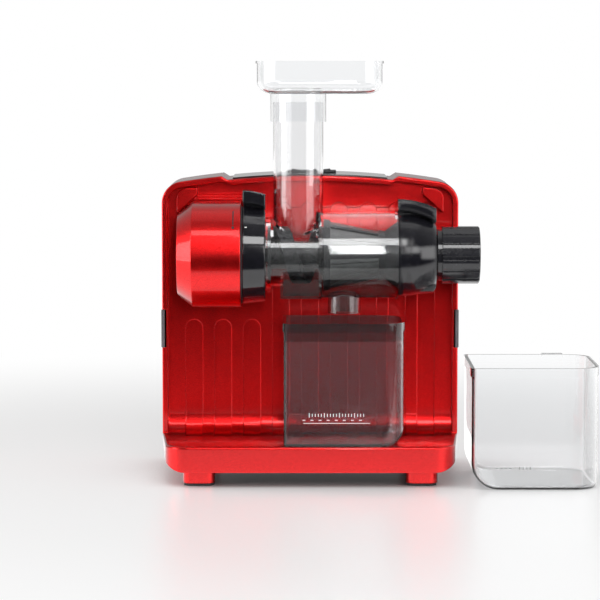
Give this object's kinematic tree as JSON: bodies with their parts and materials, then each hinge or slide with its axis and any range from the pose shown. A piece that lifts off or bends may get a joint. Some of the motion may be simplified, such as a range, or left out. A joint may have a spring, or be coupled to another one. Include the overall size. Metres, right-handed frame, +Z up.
{
  "type": "cold press juicer",
  "caption": "Horizontal slow juicer: upright red body with a shelf, motor pod, clear pressing drum with auger and screen, feeding tray, outlet knob, juice and pulp containers.",
  "frame": {"origin": "centre of the body's footprint on the counter that it stands on", "axes": "+X to the right as the user faces it, along the drum from pod to outlet; -Y towards the user; +Z up"},
  "size_m": [0.4108, 0.2115, 0.395],
  "materials": {
    "red_shell": "gloss metallic red",
    "black_gloss": "gloss black",
    "black_matte": "fine matte black",
    "clear_plastic": "clear, polished",
    "smoke_plastic": "smoked clear, polished",
    "auger_plastic": "satin dark grey",
    "screen_steel": "fine brushed",
    "steel": "machined",
    "zinc_screws": "bright plated",
    "cast_aluminium": "as cast",
    "nylon_gear": "natural nylon",
    "sintered_steel": "sintered, oiled",
    "lamination": "stacked sheet",
    "copper": "varnished copper wire",
    "bronze": "sintered bronze",
    "rubber_black": "matte",
    "latch_grey": "satin grey",
    "board_green": "solder mask",
    "capacitor_white": "moulded"
  },
  "bodies": {
    "base": {"front_shell": "red_shell", "rear_shell": "red_shell", "bottom_cover": "black_matte", "foot_blocks": "red_shell", "foot_pads": "rubber_black", "motor_pod_cover": "red_shell", "drum_mount": "black_matte", "drum": "clear_plastic", "juice_screen": "screen_steel", "screen_frame": "black_matte", "output_bearings": "steel", "output_seal": "rubber_black", "counter_pin": "steel", "gearbox_case": "cast_aluminium", "gearbox_cover": "cast_aluminium", "motor_end_bells": "cast_aluminium", "motor_bushes": "bronze", "motor_bolts": "zinc_screws", "stator_core": "lamination", "stator_windings": "copper", "top_trim": "black_matte", "switch_housing": "black_matte", "body_screws": "zinc_screws", "control_board": "board_green", "run_capacitor": "capacitor_white", "terminal_block": "black_matte", "cord_gland": "black_matte"},
    "output_drive": {"output_gear": "sintered_steel", "output_shaft": "steel", "auger": "auger_plastic"},
    "countershaft": {"counter_pinion": "sintered_steel", "counter_gear": "nylon_gear"},
    "rotor": {"rotor_shaft": "steel", "rotor_core": "lamination", "motor_pinion": "sintered_steel", "cooling_fan": "black_matte"},
    "ring": {"locking_ring": "black_gloss"},
    "cap": {"end_cap": "black_gloss"},
    "knob": {"outlet_knob": "black_gloss"},
    "tray": {"hopper_tray": "clear_plastic"},
    "juice_bin": {"juice_container": "smoke_plastic"},
    "pulp_bin": {"pulp_container": "clear_plastic"},
    "rocker": {"power_rocker": "black_matte"},
    "latch_left": {"side_latch_left": "latch_grey"},
    "latch_right": {"side_latch_right": "latch_grey"}
  },
  "joints": [
    {"name": "auger_spin", "type": "hinge", "parent": "base", "child": "output_drive", "pos_m": [0, -0.042, 0.213], "axis": [1, 0, 0], "continuous": true},
    {"name": "countershaft_spin", "type": "hinge", "parent": "base", "child": "countershaft", "pos_m": [0, 0.00975, 0.213], "axis": [1, 0, 0], "continuous": true},
    {"name": "rotor_spin", "type": "hinge", "parent": "base", "child": "rotor", "pos_m": [0, 0.048, 0.19565], "axis": [1, 0, 0], "continuous": true},
    {"name": "ring_turn", "type": "hinge", "parent": "base", "child": "ring", "pos_m": [0, -0.042, 0.213], "axis": [1, 0, 0], "range_deg": [0, 35]},
    {"name": "cap_turn", "type": "hinge", "parent": "base", "child": "cap", "pos_m": [0, -0.042, 0.213], "axis": [1, 0, 0], "range_deg": [0, 30]},
    {"name": "knob_turn", "type": "hinge", "parent": "cap", "child": "knob", "pos_m": [0, -0.042, 0.213], "axis": [1, 0, 0], "range_deg": [0, 150]},
    {"name": "tray_lift", "type": "slide", "parent": "base", "child": "tray", "axis": [0, 0, 1], "range_m": [0, 0.06]},
    {"name": "juice_bin_slide", "type": "slide", "parent": "base", "child": "juice_bin", "axis": [0, -1, 0], "range_m": [0, 0.15]},
    {"name": "pulp_bin_slide", "type": "slide", "parent": "base", "child": "pulp_bin", "axis": [0, -1, 0], "range_m": [0, 0.15]},
    {"name": "rocker_tip", "type": "hinge", "parent": "base", "child": "rocker", "pos_m": [0, 0.062, 0.285], "axis": [0, 1, 0], "range_deg": [-7, 7]},
    {"name": "latch_left_press", "type": "slide", "parent": "base", "child": "latch_left", "axis": [1, 0, 0], "range_m": [0, 0.0015], "stiffness_N_per_m": 500, "springref_m": -0.002},
    {"name": "latch_right_press", "type": "slide", "parent": "base", "child": "latch_right", "axis": [-1, 0, 0], "range_m": [0, 0.0015], "stiffness_N_per_m": 500, "springref_m": -0.002}
  ],
  "couplings": [
    {"joint": "countershaft_spin", "follows": "auger_spin", "ratio": -3.6},
    {"joint": "rotor_spin", "follows": "auger_spin", "ratio": 21.6}
  ]
}
